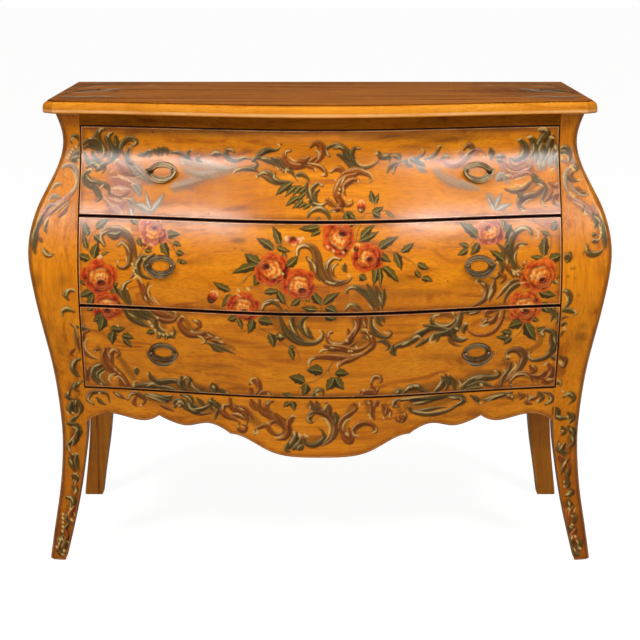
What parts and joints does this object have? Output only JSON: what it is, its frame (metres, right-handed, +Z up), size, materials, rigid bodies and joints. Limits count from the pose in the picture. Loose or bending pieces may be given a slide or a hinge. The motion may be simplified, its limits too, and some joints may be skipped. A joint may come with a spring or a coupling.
{
  "type": "bombe chest",
  "caption": "Chest of drawers with a swelling bombe front and sides, a serpentine moulded top, splayed cabriole legs, a shaped apron and hanging bail pulls.",
  "frame": {"origin": "on the floor, under the centre of the whole chest", "axes": "+X to the right seen from the front, -Y out of the front, +Z up"},
  "size_m": [1.0796, 0.6084, 0.88],
  "materials": {
    "honey_wood": "honey stain under satin varnish, painted ornament",
    "inner_wood": "bare softwood",
    "old_brass": "aged brass, rubbed on the high spots",
    "screw_steel": "plain"
  },
  "bodies": {
    "carcase": {"back_panel": "inner_wood", "bottom_panel": "inner_wood", "bottom_rail": "inner_wood", "divider_rail_lower": "inner_wood", "divider_rail_upper": "inner_wood", "dust_panel_lower": "inner_wood", "dust_panel_upper": "inner_wood", "frieze_rail": "honey_wood", "front_apron": "honey_wood", "front_post_left": "honey_wood", "front_post_right": "honey_wood", "glue_blocks": "inner_wood", "guides_lower": "inner_wood", "guides_middle": "inner_wood", "guides_upper": "inner_wood", "kickers": "inner_wood", "rear_bottom_rail": "inner_wood", "rear_post_left": "honey_wood", "rear_post_right": "honey_wood", "rear_top_rail": "inner_wood", "runners_lower": "inner_wood", "runners_middle": "inner_wood", "runners_upper": "inner_wood", "side_panel_left": "honey_wood", "side_panel_right": "honey_wood", "top_board": "honey_wood", "top_screws": "screw_steel"},
    "drawer_upper": {"drawer_back_upper": "inner_wood", "drawer_bottom_upper": "inner_wood", "drawer_front_upper": "honey_wood", "drawer_side_left_upper": "inner_wood", "drawer_side_right_upper": "inner_wood", "pull_nuts_upper": "old_brass", "pull_plates_upper": "old_brass", "pull_posts_upper": "old_brass"},
    "drawer_middle": {"drawer_back_middle": "inner_wood", "drawer_bottom_middle": "inner_wood", "drawer_front_middle": "honey_wood", "drawer_side_left_middle": "inner_wood", "drawer_side_right_middle": "inner_wood", "pull_nuts_middle": "old_brass", "pull_plates_middle": "old_brass", "pull_posts_middle": "old_brass"},
    "drawer_lower": {"drawer_back_lower": "inner_wood", "drawer_bottom_lower": "inner_wood", "drawer_front_lower": "honey_wood", "drawer_side_left_lower": "inner_wood", "drawer_side_right_lower": "inner_wood", "pull_nuts_lower": "old_brass", "pull_plates_lower": "old_brass", "pull_posts_lower": "old_brass"},
    "bail_lower_left": {"bail_lower_left": "old_brass"},
    "bail_lower_right": {"bail_lower_right": "old_brass"},
    "bail_middle_left": {"bail_middle_left": "old_brass"},
    "bail_middle_right": {"bail_middle_right": "old_brass"},
    "bail_upper_left": {"bail_upper_left": "old_brass"},
    "bail_upper_right": {"bail_upper_right": "old_brass"}
  },
  "joints": [
    {"name": "drawer_upper_slide", "type": "slide", "parent": "carcase", "child": "drawer_upper", "axis": [0, -1, 0], "range_m": [0, 0.32]},
    {"name": "drawer_middle_slide", "type": "slide", "parent": "carcase", "child": "drawer_middle", "axis": [0, -1, 0], "range_m": [0, 0.32]},
    {"name": "drawer_lower_slide", "type": "slide", "parent": "carcase", "child": "drawer_lower", "axis": [0, -1, 0], "range_m": [0, 0.32]},
    {"name": "bail_upper_left_hinge", "type": "hinge", "parent": "drawer_upper", "child": "bail_upper_left", "pos_m": [-0.28906, -0.19048, 0.7566], "axis": [-0.9676, 0.2527, 0], "range_deg": [0, 110.6]},
    {"name": "bail_upper_right_hinge", "type": "hinge", "parent": "drawer_upper", "child": "bail_upper_right", "pos_m": [0.28906, -0.19048, 0.7566], "axis": [-0.9676, -0.2527, 0], "range_deg": [0, 110.6]},
    {"name": "bail_middle_left_hinge", "type": "hinge", "parent": "drawer_middle", "child": "bail_middle_left", "pos_m": [-0.28916, -0.25868, 0.59259], "axis": [-0.9676, 0.2527, 0], "range_deg": [-1.7, 108.9]},
    {"name": "bail_middle_right_hinge", "type": "hinge", "parent": "drawer_middle", "child": "bail_middle_right", "pos_m": [0.28916, -0.25868, 0.59259], "axis": [-0.9676, -0.2527, 0], "range_deg": [-1.7, 108.9]},
    {"name": "bail_lower_left_hinge", "type": "hinge", "parent": "drawer_lower", "child": "bail_lower_left", "pos_m": [-0.2891, -0.23608, 0.42433], "axis": [-0.9676, 0.2527, 0], "range_deg": [-26.9, 83.8]},
    {"name": "bail_lower_right_hinge", "type": "hinge", "parent": "drawer_lower", "child": "bail_lower_right", "pos_m": [0.2891, -0.23608, 0.42433], "axis": [-0.9676, -0.2527, 0], "range_deg": [-26.9, 83.8]}
  ]
}
